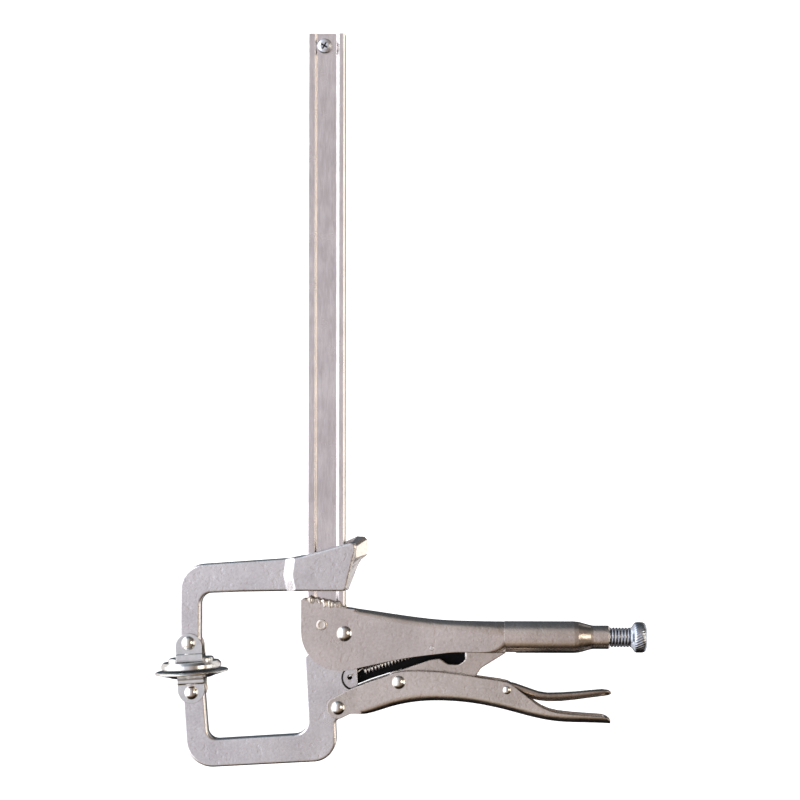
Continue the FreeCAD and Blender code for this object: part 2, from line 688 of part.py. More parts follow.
jaw_corners = [
    (-101.4, -23.8, 6.2), (-101.0, -76.2, 17.0), (-9.2, -76.6, 14.0), (-8.8, -53.0, 3.0),
    (-1.0, -48.0, 5.0), (-0.4, -36.6, 2.0), (6.0, -33.2, 4.5), (6.0, -2.0, 0), (-4.0, 6.5, 0),
    (-25.8, -12.6, 3.0), (-26.0, -59.4, 8.0), (-86.9, -59.6, 6.5), (-87.6, -23.8, 6.2),
]
jaw = plate("lower_jaw", jaw_corners, ref("jaw_thick"))
dress(jaw, "Fillet", edges_where(
    jaw, lambda e: on_side_faces(e, half_jaw) and e.BoundBox.XMax < -9.0
    and e.BoundBox.ZMin < -24.0), ref("jaw_rim"))
hub = new_sketch(jaw, "XZ_Plane")
circle(hub, "0", "0", ref("hub_radius"))
pad(jaw, hub, ref("jaw_thick"))
for sign in ("-", ""):
    step = new_sketch(jaw, "XZ_Plane", f"{sign}{ref('jaw_thick')} / 2")
    circle(step, cell("lug_x", 3.9), cell("lug_z", -27.4), ref("lug_notch_radius"))
    relief = jaw.newObject("PartDesign::Pocket", "lower_jaw_lug_step")
    relief.Profile = step
    relief.Reversed = sign == "-"
    relief.setExpression("Length", f"({ref('jaw_thick')} - {ref('lug_web')}) / 2")
    build(step, relief)
hole(jaw, "0", "0", f"{ref('main_shank')} + {ref('pin_gap')}")
turn_c = f"cos({ref('jaw_tilt')} * 1 deg)"
turn_s = f"sin({ref('jaw_tilt')} * 1 deg)"


def jaw_frame(x, z):
    """Turn a point of the assembly into the upright frame of the jaw."""
    dx = f"({x} - {ref('main_x')})"
    dz = f"({z} - {ref('main_z')})"
    return f"{dx} * {turn_c} + {dz} * {turn_s}", f"{dz} * {turn_c} - {dx} * {turn_s}"


hole(jaw, *jaw_frame(ref("jaw_pin_x"), ref("jaw_pin_z")),
     f"{ref('jaw_pin_shank')} + {ref('pin_gap')}")
hole(jaw, *jaw_frame(lower_x, lower_z), ref("pad_pin_shank"))
hole(jaw, cell("spring_hole_x", 1.3), cell("spring_hole_z", -27.0), ref("lug_hole_radius"))
place(jaw, ref("main_x"), "0", ref("main_z"), f"-{ref('jaw_tilt')}")

# ---- lower handle ------------------------------------------------------------------------

lower = plate("lower_handle", [
    (83.4, -28.9, 6.3), (91.5, -28.9, 6.0), (97.6, -25.8, 3.0), (104.0, -25.8, 0),
    (104.0, -8.6, 0), (97.0, -11.2, 40.0), (83.4, -18.3, 5.0)], cell("ear_thick", 14.6))
keel = [
    # x, half width, underside, bottom radius
    (101.5, 7.3, -25.9, 2.4), (111.0, 7.45, -25.2, 4.0), (121.4, 7.6, -22.0, 4.6),
    (136.0, 7.8, -18.9, 5.0), (152.0, 8.0, -18.0, 5.0), (170.0, 8.3, -19.2, 5.0),
    (190.0, 8.6, -22.9, 5.0), (210.0, 8.85, -28.0, 5.2), (222.0, 9.05, -30.0, 5.4),
    (238.0, 9.25, -30.7, 5.6), (254.5, 9.5, -31.2, 5.8),
]
ribs = [section(lower, f"keel{i}", x, half_width, 7.0, z, 0.4, radius)
        for i, (x, half_width, z, radius) in enumerate(keel)]
loft(lower, "AdditiveLoft", ribs, False)
rim = [
    (101.0, -9.75), (109.2, -6.5), (118.3, -3.5), (125.0, -1.2), (128.5, -0.4), (133.0, -0.1),
    (142.0, -0.1), (152.0, -0.6), (163.0, -1.9), (176.0, -3.8), (188.0, -5.5), (193.0, -6.6),
    (196.5, -8.8), (203.7, -14.5), (209.5, -19.1), (213.5, -21.6), (218.0, -23.5),
    (223.0, -24.7), (232.0, -25.7), (250.0, -26.9), (252.6, -27.8), (256.0, -30.2),
    (256.0, 9.0), (101.0, 9.0),
]
sketch = new_sketch(lower, "XZ_Plane")
polygon(sketch, rim, "lower_rim")
cut_through(lower, sketch)
ear_gap = new_sketch(lower, "XY_Plane")
polygon(ear_gap, [
    (80.0, f"-{ref('cheek_gap')} / 2"), (101.8, f"-{ref('cheek_gap')} / 2"),
    (101.8, f"{ref('cheek_gap')} / 2"), (80.0, f"{ref('cheek_gap')} / 2")], "ear_gap")
cut_through(lower, ear_gap)
trough = [
    # x, half width, top, floor
    (101.0, 5.0, 6.0, -22.6), (111.0, 5.1, 6.0, -21.8), (136.0, 5.5, 6.0, -16.2),
    (160.0, 6.0, 6.0, -15.4), (190.0, 6.7, 6.0, -20.3), (221.0, 6.7, 6.0, -27.4),
    (251.0, 6.7, 6.0, -28.2),
]
cuts = [rectangle_across(lower, f"trough{i}", *values) for i, values in enumerate(trough)]
loft(lower, "SubtractiveLoft", cuts, True)
hole(lower, ref("jaw_pin_x"), ref("jaw_pin_z"), ref("jaw_pin_shank"))
hole(lower, ref("link_pin_x"), ref("link_pin_z"), ref("link_pin_shank"))
hole(lower, ref("lever_pin_x"), ref("lever_pin_z"), ref("lever_pin_shank"))

rivet("jaw_rivet", ref("jaw_pin_x"), ref("jaw_pin_z"), 7.2,
      ref("jaw_pin_shank"), ref("jaw_pin_head"), 2.3)
rivet("link_rivet", ref("link_pin_x"), ref("link_pin_z"), 7.7,
      ref("link_pin_shank"), ref("link_pin_head"), 2.2)
rivet("lever_rivet", ref("lever_pin_x"), ref("lever_pin_z"), 9.1,
      ref("lever_pin_shank"), ref("lever_pin_head"), 1.1)

# ---- blackened guard strip behind the spring ---------------------------------------------

guard = plate("spring_guard", [
    (93.0, 1.6, 0), (93.0, -12.5, 0), (97.0, -10.4, 0), (104.0, -7.9, 0), (109.4, -5.7, 0), (118.5, -2.7, 0),
    (125.2, -0.5, 0), (129.0, 0.4, 0), (142.0, 0.6, 0), (152.0, 0.1, 0), (167.0, -1.6, 0),
    (167.0, 12.2, 0), (152.0, 11.4, 0), (132.0, 8.7, 0), (115.0, 5.4, 0)],
    cell("guard_thick", 1.8))
place(guard, "0", cell("guard_y", 6.1), "0")

# ---- toggle link ---------------------------------------------------------------------------

link = plate("toggle_link", [
    (119.6, -14.0, 6.8), (134.0, -14.0, 8.0), (171.0, -7.2, 3.0), (176.6, 1.5, 4.0),
    (192.0, 11.0, 1.2), (189.2, 15.6, 2.0), (187.3, 25.2, 4.0), (167.4, 25.2, 4.0),
    (167.4, 6.4, 5.0), (162.8, 3.6, 4.0), (156.6, 3.9, 3.5), (151.6, 7.4, 1.5),
    (145.5, 6.5, 6.0), (127.0, 0.0, 10.0), (119.6, 0.0, 6.0)], ref("link_thick"))
half_link = sizes["link_thick"] / 2
dress(link, "Fillet", edges_where(link, lambda e: on_side_faces(e, half_link)),
      cell("link_rim", 0.6))
hole(link, ref("link_pin_x"), ref("link_pin_z"), f"{ref('link_pin_shank')} + {ref('pin_gap')}")

# ---- release lever ---------------------------------------------------------------------------

lever = plate("release_lever", [
    (178.5, -13.6, 2.0), (187.0, -16.2, 4.0), (206.0, -16.6, 6.0), (212.5, -18.7, 6.0),
    (224.0, -18.6, 30.0), (254.6, -15.0, 2.0), (256.8, -12.2, 1.5), (250.5, -11.0, 6.0),
    (236.0, -12.7, 30.0), (215.0, -13.8, 20.0), (196.5, -7.4, 5.0), (187.5, -6.1, 3.0),
    (178.5, -8.8, 2.0)], ref("lever_thick"))
half_lever = sizes["lever_thick"] / 2
dress(lever, "Fillet", edges_where(lever, lambda e: on_side_faces(e, half_lever)),
      cell("lever_rim", 1.4))
under = new_sketch(lever, "XZ_Plane")
polygon(under, [
    (184.0, -22.0), (247.0, -22.0), (245.5, -14.2), (236.0, -14.9), (216.0, -15.8),
    (197.5, -9.6), (184.0, -8.9)], "lever_hollow")
cut_wide(lever, under, f"{ref('lever_thick')} - 2 * {ref('lever_wall')}")
hole(lever, ref("lever_pin_x"), ref("lever_pin_z"), f"{ref('lever_pin_shank')} + {ref('pin_gap')}")

# ---- tension spring: a coil between an eye in the jaw's lug and an eye on its pin -----------

lean = math.radians(sizes["jaw_tilt"])
hole_x, hole_z = cells["spring_hole_x"], cells["spring_hole_z"]
near_x = sizes["main_x"] + hole_x * math.cos(lean) - hole_z * math.sin(lean)
near_z = sizes["main_z"] + hole_z * math.cos(lean) + hole_x * math.sin(lean)
far_x, far_z = sizes["spring_pin_x"], sizes["spring_pin_z"]
reach = math.hypot(far_x - near_x, far_z - near_z)
slope = 90.0 - math.degrees(math.atan2(far_z - near_z, far_x - near_x))
axis = Placement(Vector(near_x, 0, near_z), Rotation(Vector(0, 1, 0), slope))
cell("spring_start", 10.2)
cell("spring_hook", 2.9)
cell("spring_eye", 2.1)
cell("spring_lead", 0.39)

path = doc.addObject("Part::Helix", "spring_path")
path.setExpression("Radius", ref("spring_radius"))
path.setExpression("Pitch", ref("spring_pitch"))
path.setExpression("Height", ref("spring_length"))
wire = doc.addObject("Part::Circle", "spring_wire_section")
wire.setExpression("Radius", ref("spring_wire"))
wire.Placement = Placement(
    Vector(sizes["spring_radius"], 0, 0), Rotation(Vector(1, 0, 0), 90))
build(path, wire)
coil = doc.addObject("Part::Sweep", "spring_coil")
coil.Sections = [wire]
coil.Spine = (path, ["Edge1"])
coil.Solid = True
coil.Frenet = True
coil.Placement = axis * Placement(Vector(0, 0, cells["spring_start"]), Rotation())
build(coil)


def spring_lead(name, start, end):
    """A straight run of wire between two points of the spring's own frame."""
    lead = doc.addObject("Part::Cylinder", name)
    lead.setExpression("Radius", ref("spring_lead"))
    lead.Height = (end - start).Length
    lead.Placement = axis * Placement(start, Rotation(Vector(0, 0, 1), end - start))
    build(lead)
    return lead


def spring_eye(name, radius, centre, turn):
    eye = doc.addObject("Part::Torus", name)
    eye.setExpression("Radius1", radius)
    eye.setExpression("Radius2", ref("spring_wire"))
    eye.Placement = Placement(centre, turn)
    build(eye)
    return eye


side = sizes["spring_radius"]
coil_end = cells["spring_start"] + sizes["spring_length"]
hook_far = 2 * cells["spring_hook"] - 0.3
pieces = [
    coil,
    spring_lead("spring_lead_near", Vector(0, 0, hook_far), Vector(side, 0, 10.4)),
    spring_lead("spring_lead_far", Vector(side, 0, coil_end - 0.2), Vector(0, 0, reach - 2.0)),
    spring_eye("spring_eye_near", ref("spring_hook"),
               Vector(near_x + cells["spring_hook"], 0, near_z + 0.6),
               Rotation(Vector(0, 1, 0), -12.0)),
    spring_eye("spring_eye_far", ref("spring_eye"), Vector(far_x, 0, far_z),
               Rotation(Vector(1, 0, 0), 90.0)),
]
spring = doc.addObject("Part::MultiFuse", "spring")
spring.Label = "spring"
spring.Shapes = pieces
build(spring)

# ---- check every object and write the pieces -------------------------------------------------

doc.recompute()
for item in doc.Objects:
    if "Invalid" in item.State or "Error" in item.State:
        raise ValueError(f"{item.Label} did not recompute: {item.State}")
nodes = [item for item in doc.Objects if item.TypeId == "PartDesign::Body"] + [spring]
os.makedirs("parts", exist_ok=True)
for node in nodes:
    shape = node.Shape
    if shape.isNull() or not shape.isValid():
        raise ValueError(f"{node.Label} has no valid shape")
    shape.exportStep(f"parts/{node.Label}.step")
    box = shape.BoundBox
    print(f"{node.Label}: {len(shape.Solids)} solid, "
          f"X {box.XMin:.1f}..{box.XMax:.1f}  Y {box.YMin:.1f}..{box.YMax:.1f}  "
          f"Z {box.ZMin:.1f}..{box.ZMax:.1f}")
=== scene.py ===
import math
import random

import bmesh
import bpy
from mathutils import Matrix, Vector, noise


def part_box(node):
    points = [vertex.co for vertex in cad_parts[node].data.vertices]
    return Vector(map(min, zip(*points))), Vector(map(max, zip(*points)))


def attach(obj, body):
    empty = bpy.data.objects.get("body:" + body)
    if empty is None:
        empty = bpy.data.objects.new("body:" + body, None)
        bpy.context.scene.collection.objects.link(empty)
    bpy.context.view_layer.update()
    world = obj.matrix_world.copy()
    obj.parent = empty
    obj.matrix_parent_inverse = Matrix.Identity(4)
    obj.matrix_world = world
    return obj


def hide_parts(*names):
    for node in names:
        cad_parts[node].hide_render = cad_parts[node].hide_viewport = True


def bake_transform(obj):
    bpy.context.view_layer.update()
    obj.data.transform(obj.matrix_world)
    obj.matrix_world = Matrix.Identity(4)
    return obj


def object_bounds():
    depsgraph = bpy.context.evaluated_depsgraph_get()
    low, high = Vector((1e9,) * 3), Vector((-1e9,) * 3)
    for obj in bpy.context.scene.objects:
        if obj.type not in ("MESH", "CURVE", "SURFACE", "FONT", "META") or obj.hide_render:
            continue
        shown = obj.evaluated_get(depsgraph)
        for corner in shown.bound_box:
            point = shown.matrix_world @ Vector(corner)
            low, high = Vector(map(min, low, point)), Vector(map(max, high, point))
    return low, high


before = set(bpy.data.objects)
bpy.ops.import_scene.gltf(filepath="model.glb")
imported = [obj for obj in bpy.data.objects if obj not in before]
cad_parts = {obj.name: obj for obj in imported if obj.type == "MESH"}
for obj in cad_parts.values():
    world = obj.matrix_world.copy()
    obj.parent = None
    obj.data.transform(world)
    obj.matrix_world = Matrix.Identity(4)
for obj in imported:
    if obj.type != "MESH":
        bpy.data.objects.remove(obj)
cad_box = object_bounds()
scene = bpy.context.scene

# Axes in the frame, in metres: X along the handles, Y away from the viewer, Z up the rail.
screw_lo, screw_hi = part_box("adjusting_screw")
knob_lo, knob_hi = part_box("adjusting_knob")
pin_lo, pin_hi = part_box("spring_pin")
stop_lo, stop_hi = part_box("stop_screw")
TUBE_Z = (knob_lo.z + knob_hi.z) / 2
KNOB_RADIUS = (knob_hi.z - knob_lo.z) / 2
LUG_HOLE = Vector((0.0956, 0.0, -0.0041))
SPRING_PIN = Vector(((pin_lo.x + pin_hi.x) / 2, 0.0, (pin_lo.z + pin_hi.z) / 2))


# ---- node trees ------------------------------------------------------------------------


class Graph:
    """A node tree, with short calls for the nodes that the finishes and the sky need."""

    def __init__(self, tree):
        self.tree = tree
        tree.nodes.clear()

    def add(self, kind, **settings):
        node = self.tree.nodes.new(kind)
        for key, value in settings.items():
            setattr(node, key, value)
        return node

    def put(self, socket, value):
        """Set a socket to a number or a colour, or link another node's socket to it."""
        if isinstance(value, (int, float)):
            socket.default_value = value
        elif isinstance(value, tuple):
            socket.default_value = (*value, 1.0)
        else:
            self.tree.links.new(value, socket)

    def position(self, scale=(1, 1, 1)):
        """Object coordinates in metres, stretched by scale."""
        coords = self.add("ShaderNodeTexCoord")
        mapping = self.add("ShaderNodeMapping")
        mapping.inputs["Scale"].default_value = scale
        self.put(mapping.inputs["Vector"], coords.outputs["Object"])
        return mapping.outputs["Vector"]

    def noise(self, where, scale, detail=2.0, rough=0.5):
        node = self.add("ShaderNodeTexNoise")
        self.put(node.inputs["Vector"], where)
        self.put(node.inputs["Scale"], scale)
        self.put(node.inputs["Detail"], detail)
        self.put(node.inputs["Roughness"], rough)
        return node.outputs["Fac"]

    def between(self, value, low, high, out_low=0.0, out_high=1.0, kind="LINEAR"):
        """Value's place between low and high, as a number from out_low to out_high."""
        node = self.add("ShaderNodeMapRange", clamp=True, interpolation_type=kind)
        for key, number in (("Value", value), ("From Min", low), ("From Max", high),
                            ("To Min", out_low), ("To Max", out_high)):
            self.put(node.inputs[key], number)
        return node.outputs["Result"]

    def step(self, value, low, high):
        """A smooth step from 0 at low to 1 at high."""
        return self.between(value, low, high, kind="SMOOTHSTEP")

    def math(self, operation, a, b):
        node = self.add("ShaderNodeMath", operation=operation)
        self.put(node.inputs[0], a)
        self.put(node.inputs[1], b)
        return node.outputs["Value"]

    def axes(self, vector):
        """The X, Y and Z of a vector."""
        node = self.add("ShaderNodeSeparateXYZ")
        self.put(node.inputs["Vector"], vector)
        return node.outputs["X"], node.outputs["Y"], node.outputs["Z"]

    def vector_math(self, operation, vector):
        """A vector operation whose second vector is still to be set, and its result."""
        node = self.add("ShaderNodeVectorMath", operation=operation)
        self.put(node.inputs[0], vector)
        return node.inputs[1], node.outputs["Value"]

    def mix(self, factor, first, second, blend="MIX"):
        """Two colours, each a tuple or a socket, mixed by factor."""
        node = self.add("ShaderNodeMix", data_type="RGBA", blend_type=blend)
        # Sockets 0, 6 and 7 are the factor and the two colours; output 2 is the colour.
        for index, value in ((0, factor), (6, first), (7, second)):
            self.put(node.inputs[index], value)
        return node.outputs[2]

    def ramp(self, source, stops):
        """A colour ramp through stops of (position, colour)."""
        node = self.add("ShaderNodeValToRGB")
        self.put(node.inputs["Fac"], source)
        elements = node.color_ramp.elements
        for place, _ in stops[1:-1]:
            elements.new(place)
        for element, (place, colour) in zip(elements, stops):
            element.position = place
            element.color = (*colour, 1.0)
        return node.outputs["Color"]

    def painted_shade(self, where, centre, inner, outer, nearest):
        """The mask of a painted shade: 1 in a ring about a point of the front view, behind the
        plane y = nearest.
        """
        x, y, z = self.axes(where)
        flat = self.add("ShaderNodeCombineXYZ")
        self.put(flat.inputs["X"], x)
        self.put(flat.inputs["Z"], z)
        middle, far = self.vector_math("DISTANCE", flat.outputs["Vector"])
        middle.default_value = (centre[0], 0.0, centre[1])
        soft = 0.0003
        ring = self.math("MULTIPLY", self.between(far, inner - soft, inner),
                         self.between(far, outer + soft, outer))
        behind = self.between(y, nearest, nearest + 0.0001)
        return self.math("MULTIPLY", ring, behind)


def material_graph(name):
    """A new material and its empty node tree."""
    material = bpy.data.materials.new(name)
    material.use_nodes = True
    return material, Graph(material.node_tree)


def principled(g):
    """The material's one shader, joined to its output."""
    shader = g.add("ShaderNodeBsdfPrincipled")
    output = g.add("ShaderNodeOutputMaterial")
    g.put(output.inputs["Surface"], shader.outputs["BSDF"])
    return shader.inputs


# ---- finishes --------------------------------------------------------------------------


def metal(name, light, dark, rough, stretch=(1, 1, 1), peel=0.25, peel_scale=900.0,
          peel_depth=0.00004, pits=0.0, bevel=0.00035, worn=0.25, painted_shade=None):
    """Plated steel: clouds of tint, orange peel, small pits, edges rubbed bright.

    The last argument, (centre, inner, outer, nearest), paints shade: near-black between two
    distances from a point in the front view, behind the plane y = nearest.
    """
    material, g = material_graph(name)
    where = g.position()
    grain_at = g.position(stretch)
    clouds = g.between(g.noise(where, 42.0, 4.0, 0.55), 0.34, 0.66)
    specks = g.between(g.noise(grain_at, 620.0, 3.0, 0.6), 0.36, 0.64)
    tone = g.math("ADD", g.math("MULTIPLY", clouds, 0.62), g.math("MULTIPLY", specks, 0.38))
    colour = g.mix(tone, dark, light)

    edge = g.add("ShaderNodeBevel", samples=4)
    g.put(edge.inputs["Radius"], bevel)
    facing = g.add("ShaderNodeNewGeometry")
    other, turned = g.vector_math("DOT_PRODUCT", edge.outputs["Normal"])
    g.put(other, facing.outputs["Normal"])
    patchy = g.between(g.noise(where, 190.0, 3.0), 0.3, 0.7, 0.25, 1.0)
    rubbed = g.math("MULTIPLY", g.between(turned, 0.995, 0.86), patchy)
    colour = g.mix(g.math("MULTIPLY", rubbed, worn), colour, (0.93, 0.92, 0.90))
    # Painted shade: a near-black colour mixed in over the ring mask.
    if painted_shade:
        colour = g.mix(g.painted_shade(where, *painted_shade), colour, (0.03, 0.03, 0.035))

    ripple = g.noise(grain_at, peel_scale, 2.0, 0.5)
    swell = g.noise(grain_at, peel_scale * 0.23, 2.0, 0.5)
    height = g.math("ADD", g.math("MULTIPLY", ripple, 0.6), g.math("MULTIPLY", swell, 1.6))
    if pits:
        dents = g.between(g.noise(where, 310.0, 1.0), 0.30, 0.40, -pits, 0.0)
        height = g.math("ADD", height, dents)
    bump = g.add("ShaderNodeBump")
    g.put(bump.inputs["Strength"], peel)
    g.put(bump.inputs["Distance"], peel_depth)
    g.put(bump.inputs["Height"], height)
    g.put(bump.inputs["Normal"], edge.outputs["Normal"])

    smear = g.between(g.noise(where, 95.0, 4.0, 0.6), 0.3, 0.7, rough - 0.05, rough + 0.06)
    shader = principled(g)
    g.put(shader["Metallic"], 1.0)
    g.put(shader["Base Color"], colour)
    g.put(shader["Roughness"], smear)
    g.put(shader["Normal"], bump.outputs["Normal"])
    return material


FORGING = dict(peel=1.2, peel_scale=800.0, pits=0.8, bevel=0.0007)
PRESSING = dict(peel=1.1, peel_scale=750.0, pits=0.7)
# Painted shade in the groove round the jaw's spring lug, and in the cross recess of the stop
# screw.
LUG_PAINTED_SHADE = ((0.0995, -0.0045), 0.0068, 0.0074, -0.1)
RECESS_PAINTED_SHADE = (((stop_lo.x + stop_hi.x) / 2, (stop_lo.z + stop_hi.z) / 2),
               -1.0, 0.0024, -0.00645)
FINISHES = {
    "rail": metal("drawn_rail", (0.84, 0.79, 0.79), (0.62, 0.575, 0.575), 0.23,
                  stretch=(1.0, 1.0, 0.16), peel=0.9, peel_scale=1100.0, bevel=0.0006),
    "forged": metal("satin_forging", (0.84, 0.82, 0.83), (0.66, 0.63, 0.64), 0.24, **FORGING),
    "jaw": metal("satin_jaw_forging", (0.84, 0.82, 0.83), (0.66, 0.63, 0.64), 0.24,
                 painted_shade=LUG_PAINTED_SHADE, **FORGING),
    "pressed": metal("satin_pressing", (0.81, 0.74, 0.69), (0.60, 0.545, 0.50), 0.23,
                     bevel=0.0008, **PRESSING),
    "handle": metal("satin_handle", (0.81, 0.74, 0.70), (0.61, 0.555, 0.52), 0.23,
                    bevel=0.00015, **PRESSING),
    # The release lever is a darker copy of the pressing's colour: painted shade.
    "lever": metal("pressing_painted_shade", (0.50, 0.43, 0.38), (0.34, 0.29, 0.25), 0.25,
                   bevel=0.0005, **PRESSING),
    "plug": metal("flat_plug", (0.76, 0.70, 0.66), (0.62, 0.56, 0.52), 0.46,
                  bevel=0.0003, **PRESSING),
    "pads": metal("bright_pressing", (0.86, 0.85, 0.84), (0.70, 0.69, 0.68), 0.17,
                  peel=0.4, peel_scale=1300.0, bevel=0.0005),
    "rivets": metal("polished_rivet", (0.88, 0.86, 0.84), (0.76, 0.74, 0.72), 0.12,
                    peel=0.25, peel_scale=1500.0, worn=0.1),
    "zinc": metal("blue_zinc", (0.60, 0.655, 0.74), (0.46, 0.50, 0.58), 0.22,
                  peel=0.3, peel_scale=1500.0),
    "stop": metal("blue_zinc_screw", (0.80, 0.83, 0.88), (0.66, 0.69, 0.74), 0.2,
                  peel=0.3, peel_scale=1500.0, painted_shade=RECESS_PAINTED_SHADE),
    "thread": metal("zinc_thread", (0.40, 0.42, 0.47), (0.24, 0.25, 0.28), 0.24,
                    peel=0.3, peel_scale=1500.0),
    "weld": metal("plated_weld", (0.66, 0.61, 0.55), (0.42, 0.38, 0.33), 0.3,
                  peel=0.9, peel_scale=420.0, peel_depth=0.00015),
    # The spring guard is near black: a dark sheet that stands for the shade seen between the
    # handles, painted shade.
    "guard": metal("painted_shade_black_sheet", (0.020, 0.020, 0.022), (0.010, 0.010, 0.011), 0.5,
                   peel=0.3, peel_scale=1200.0, worn=0.04),
    "spring": metal("spring_wire", (0.96, 0.95, 0.93), (0.84, 0.82, 0.80), 0.34,
                    peel=0.3, peel_scale=1500.0),
}
NODES_OF_FINISH = {
    "rail": ("rail_bar",),
    "forged": ("sliding_arm",),
    "jaw": ("lower_jaw",),
    "pressed": ("lower_handle", "toggle_link"),
    "handle": ("upper_handle",),
    "lever": ("release_lever",),
    "plug": ("plug_weld",),
    "pads": ("upper_pad_disc", "upper_pad_bracket", "lower_pad_disc", "lower_pad_bracket"),
    "rivets": ("main_rivet", "jaw_rivet", "link_rivet", "lever_rivet", "upper_pad_rivet",
               "lower_pad_rivet", "spring_pin"),
    "zinc": ("adjusting_knob",),
    "stop": ("stop_screw",),
    "thread": ("adjusting_screw",),
    "weld": ("bar_weld_front", "bar_weld_back"),
    "guard": ("spring_guard",),
    "spring": ("spring",),
}
for finish, nodes in NODES_OF_FINISH.items():
    for node in nodes:
        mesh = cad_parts[node].data
        mesh.materials.clear()
        mesh.materials.append(FINISHES[finish])


# ---- pieces made here ------------------------------------------------------------------


def piece(name, bm, finish, node, body=None):
    """Turn a bmesh into a smooth piece that stands for a CAD node."""
    bmesh.ops.recalc_face_normals(bm, faces=bm.faces)
    mesh = bpy.data.meshes.new(name)
    bm.to_mesh(mesh)
    bm.free()
    mesh.polygons.foreach_set("use_smooth", [True] * len(mesh.polygons))
    mesh.materials.append(FINISHES[finish])
    obj = bpy.data.objects.new(name, mesh)
    scene.collection.objects.link(obj)
    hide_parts(node)
    if body:
        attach(obj, body)
    return obj


def skin(bm, rings):
    """Join closed rings of points into a tube, with a cap on its first and last ring."""
    rows = [[bm.verts.new(point) for point in ring] for ring in rings]
    count = len(rows[0])
    for row, after in zip(rows, rows[1:]):
        for i in range(count):
            k = (i + 1) % count
            bm.faces.new((row[i], row[k], after[k], after[i]))
    bm.faces.new(rows[0])
    bm.faces.new(list(reversed(rows[-1])))


def about_tube(x, radius, angle):
    """A point about the centre line of the grip tube, the screw and the knob."""
    return x, radius * math.sin(angle), TUBE_Z + radius * math.cos(angle)


def threaded_screw():
    """The adjusting screw: a real helical thread, cut off square at both ends."""
    pitch = 0.0019
    turns = 16
    steps = 40
    gap = 0.00002
    crest = (screw_hi.z - screw_lo.z) / 2 - gap
    root = crest - 0.0006
    core = root - gap
    start = screw_hi.x - 0.028
    end = screw_hi.x + 0.0004
    # Share of the pitch, and radius there.
    profile = ((0.0, root), (0.10, root), (0.30, crest), (0.68, crest), (0.88, root), (1.0, root))
    bm = bmesh.new()
    rows = []
    for i in range(turns * steps + 1):
        angle = math.tau * i / steps
        shift = start - pitch + pitch * i / steps
        rows.append([bm.verts.new(about_tube(min(max(shift + along * pitch, start), end),
                                             radius, angle))
                     for along, radius in profile])
    for row, after in zip(rows, rows[1:]):
        for i in range(len(profile) - 1):
            bm.faces.new((row[i], row[i + 1], after[i + 1], after[i]))
    bmesh.ops.remove_doubles(bm, verts=bm.verts, dist=1e-6)

    around = 48
    shank = 0.0047
    turned = ((screw_lo.x, 0.0034), (screw_lo.x + 0.0003, 0.0039),
              (screw_lo.x + 0.0016, shank), (start - 0.0010, shank),
              (start, core), (end, core))
    skin(bm, [[about_tube(x, radius, math.tau * k / around) for k in range(around)]
              for x, radius in turned])
    bmesh.ops.dissolve_degenerate(bm, dist=1e-7, edges=bm.edges)
    piece("screw_thread", bm, "thread", "adjusting_screw", "screw")


def knurled_knob():
    """The knob: a turned bell with slanting knurls round its rim."""
    length = knob_hi.x - knob_lo.x
    outline = [
        # share of the length, share of the radius, share of the knurls' depth
        (0.00, 0.58, 0), (0.02, 0.62, 0), (0.08, 0.66, 0), (0.15, 0.74, 0), (0.22, 0.86, 0),
        (0.28, 0.945, 0.2), (0.34, 0.985, 0.8), (0.42, 1.0, 1), (0.50, 1.0, 1), (0.58, 1.0, 1),
        (0.66, 1.0, 1), (0.74, 0.995, 1), (0.82, 0.97, 0.7), (0.89, 0.92, 0.1), (0.94, 0.86, 0),
        (0.975, 0.78, 0), (0.993, 0.70, 0), (1.0, 0.60, 0), (0.995, 0.50, 0), (0.985, 0.30, 0),
        (0.98, 0.08, 0)]
    knurls = 34
    steps = 8
    slant = 3.2
    knurl_depth = 0.00050
    full_radius = KNOB_RADIUS - 0.00005
    rings = []
    for along, radius, cut in outline:
        ring = []
        for k in range(knurls * steps):
            phase = k / steps - along * slant
            wave = abs(2 * (phase - math.floor(phase)) - 1)
            depth = knurl_depth * cut * max(0.0, 1.0 - 1.9 * wave)
            ring.append(about_tube(knob_lo.x + along * length, radius * full_radius - depth,
                                   math.tau * k / (knurls * steps)))
        rings.append(ring)
    bm = bmesh.new()
    skin(bm, rings)
    piece("knurled_knob", bm, "zinc", "adjusting_knob", "knob")


def wire(bm, points, radius, sides=12):
    """A round wire along points, with frames carried from one to the next."""
    rings = []
    normal = (points[1] - points[0]).orthogonal().normalized()
    for i, point in enumerate(points):
        ahead = (points[min(i + 1, len(points) - 1)] - points[max(i - 1, 0)]).normalized()
        normal = (normal - ahead * normal.dot(ahead)).normalized()
        across = ahead.cross(normal)
        rings.append([point + radius * (math.cos(math.tau * k / sides) * normal
                                        + math.sin(math.tau * k / sides) * across)
                      for k in range(sides)])
    skin(bm, rings)


